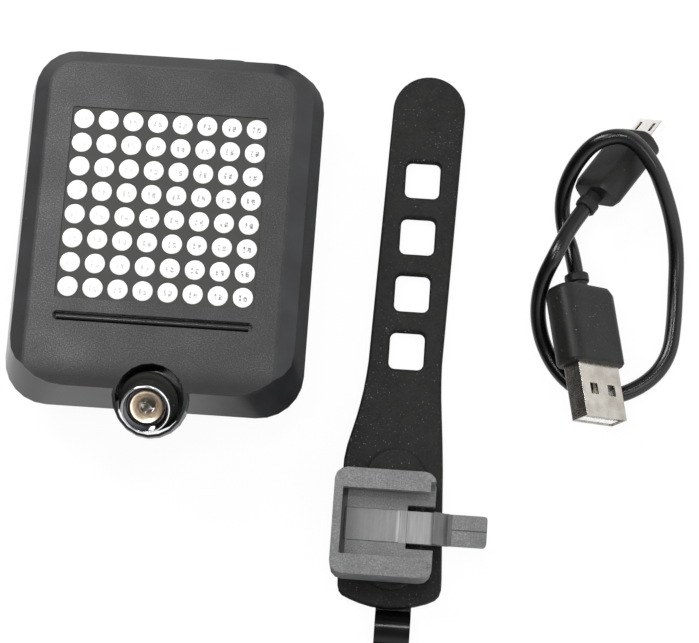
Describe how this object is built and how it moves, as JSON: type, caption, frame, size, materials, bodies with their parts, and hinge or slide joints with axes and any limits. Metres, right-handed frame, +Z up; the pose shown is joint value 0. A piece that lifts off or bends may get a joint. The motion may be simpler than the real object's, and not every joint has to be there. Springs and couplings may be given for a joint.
{
  "type": "bicycle tail light",
  "caption": "Faceted battery tail light with LED matrix, light slot and laser, a rubber strap mount with clip bracket, and a USB charging lead.",
  "frame": {"origin": "on the table, under the middle of the box round the lamp and the strap mount, the charging lead left out", "axes": "+Z up, out of the lamp's face; +Y towards the lamp's charging port wall and the strap's round end; +X from the lamp to the strap"},
  "size_m": [0.1397, 0.1256, 0.0302],
  "materials": {
    "front_shell": "fine grain",
    "rear_shell": "fine grain",
    "mask": "satin",
    "lens_white": "frosted, lit white",
    "led_white": "satin",
    "board_green": "solder mask",
    "smoke_bar": "polished",
    "black_metal": "satin black coating",
    "ring_chrome": "polished",
    "amber_metal": "polished",
    "lens_glass": "clear",
    "module_brass": "turned",
    "cell_wrap": "pouch foil",
    "foam": "foam",
    "chip_black": "moulded",
    "socket_steel": "plated",
    "soft_black": "matte",
    "strap_rubber": "matte",
    "hook_black": "gloss",
    "bracket_grey": "fine grain",
    "screw_steel": "plain",
    "cable_pvc": "gloss",
    "plug_black": "satin",
    "shell_nickel": "satin nickel plate",
    "tongue_white": "satin",
    "contact_gold": "plated"
  },
  "bodies": {
    "lamp": {"front_housing": "front_shell", "rear_housing": "rear_shell", "housing_seal": "soft_black", "housing_screws": "screw_steel", "led_mask": "mask", "led_lenses": "lens_white", "led_chips": "led_white", "led_board": "board_green", "slot_bar": "smoke_bar", "laser_barrel": "black_metal", "laser_ring": "ring_chrome", "laser_reflector": "amber_metal", "laser_lens": "lens_glass", "laser_module": "module_brass", "battery": "cell_wrap", "battery_pad": "foam", "control_chip": "chip_black", "motion_sensor": "chip_black", "usb_socket": "socket_steel", "button_switch": "chip_black", "mount_tab": "rear_shell", "tab_screws": "screw_steel"},
    "button": {"power_button": "soft_black"},
    "port_cover": {"usb_cover": "soft_black"},
    "strap_mount": {"strap": "strap_rubber", "hook": "hook_black", "bracket": "bracket_grey", "bracket_screw": "screw_steel"},
    "clip_tongue": {"release_tongue": "bracket_grey"},
    "lead": {"cable": "cable_pvc", "usb_a_relief": "plug_black", "usb_a_overmould": "plug_black", "usb_a_shell": "shell_nickel", "usb_a_tongue": "tongue_white", "usb_a_contacts": "contact_gold", "micro_usb_relief": "plug_black", "micro_usb_overmould": "plug_black", "micro_usb_shell": "shell_nickel", "micro_usb_tongue": "plug_black", "micro_usb_contacts": "contact_gold"}
  },
  "joints": [
    {"name": "button_press", "type": "slide", "parent": "lamp", "child": "button", "axis": [0, -1, 0], "range_m": [0, 0.0005], "stiffness_N_per_m": 3000, "springref_m": -0.0002},
    {"name": "port_cover_hinge", "type": "hinge", "parent": "lamp", "child": "port_cover", "pos_m": [-0.03615, 0.05803, 0.0186], "axis": [0, 0, 1], "range_deg": [0, 110], "stiffness_Nm_per_rad": 0.002},
    {"name": "strap_mount_lift", "type": "slide", "parent": "lamp", "child": "strap_mount", "axis": [0, 0, 1], "range_m": [0, 0.05]},
    {"name": "tongue_flex", "type": "hinge", "parent": "strap_mount", "child": "clip_tongue", "pos_m": [0.0349, -0.03628, 0.00825], "axis": [0, 1, 0], "range_deg": [0, 14], "stiffness_Nm_per_rad": 0.25},
    {"name": "lead_lift", "type": "slide", "parent": "lamp", "child": "lead", "axis": [0, 0, 1], "range_m": [0, 0.05]}
  ]
}
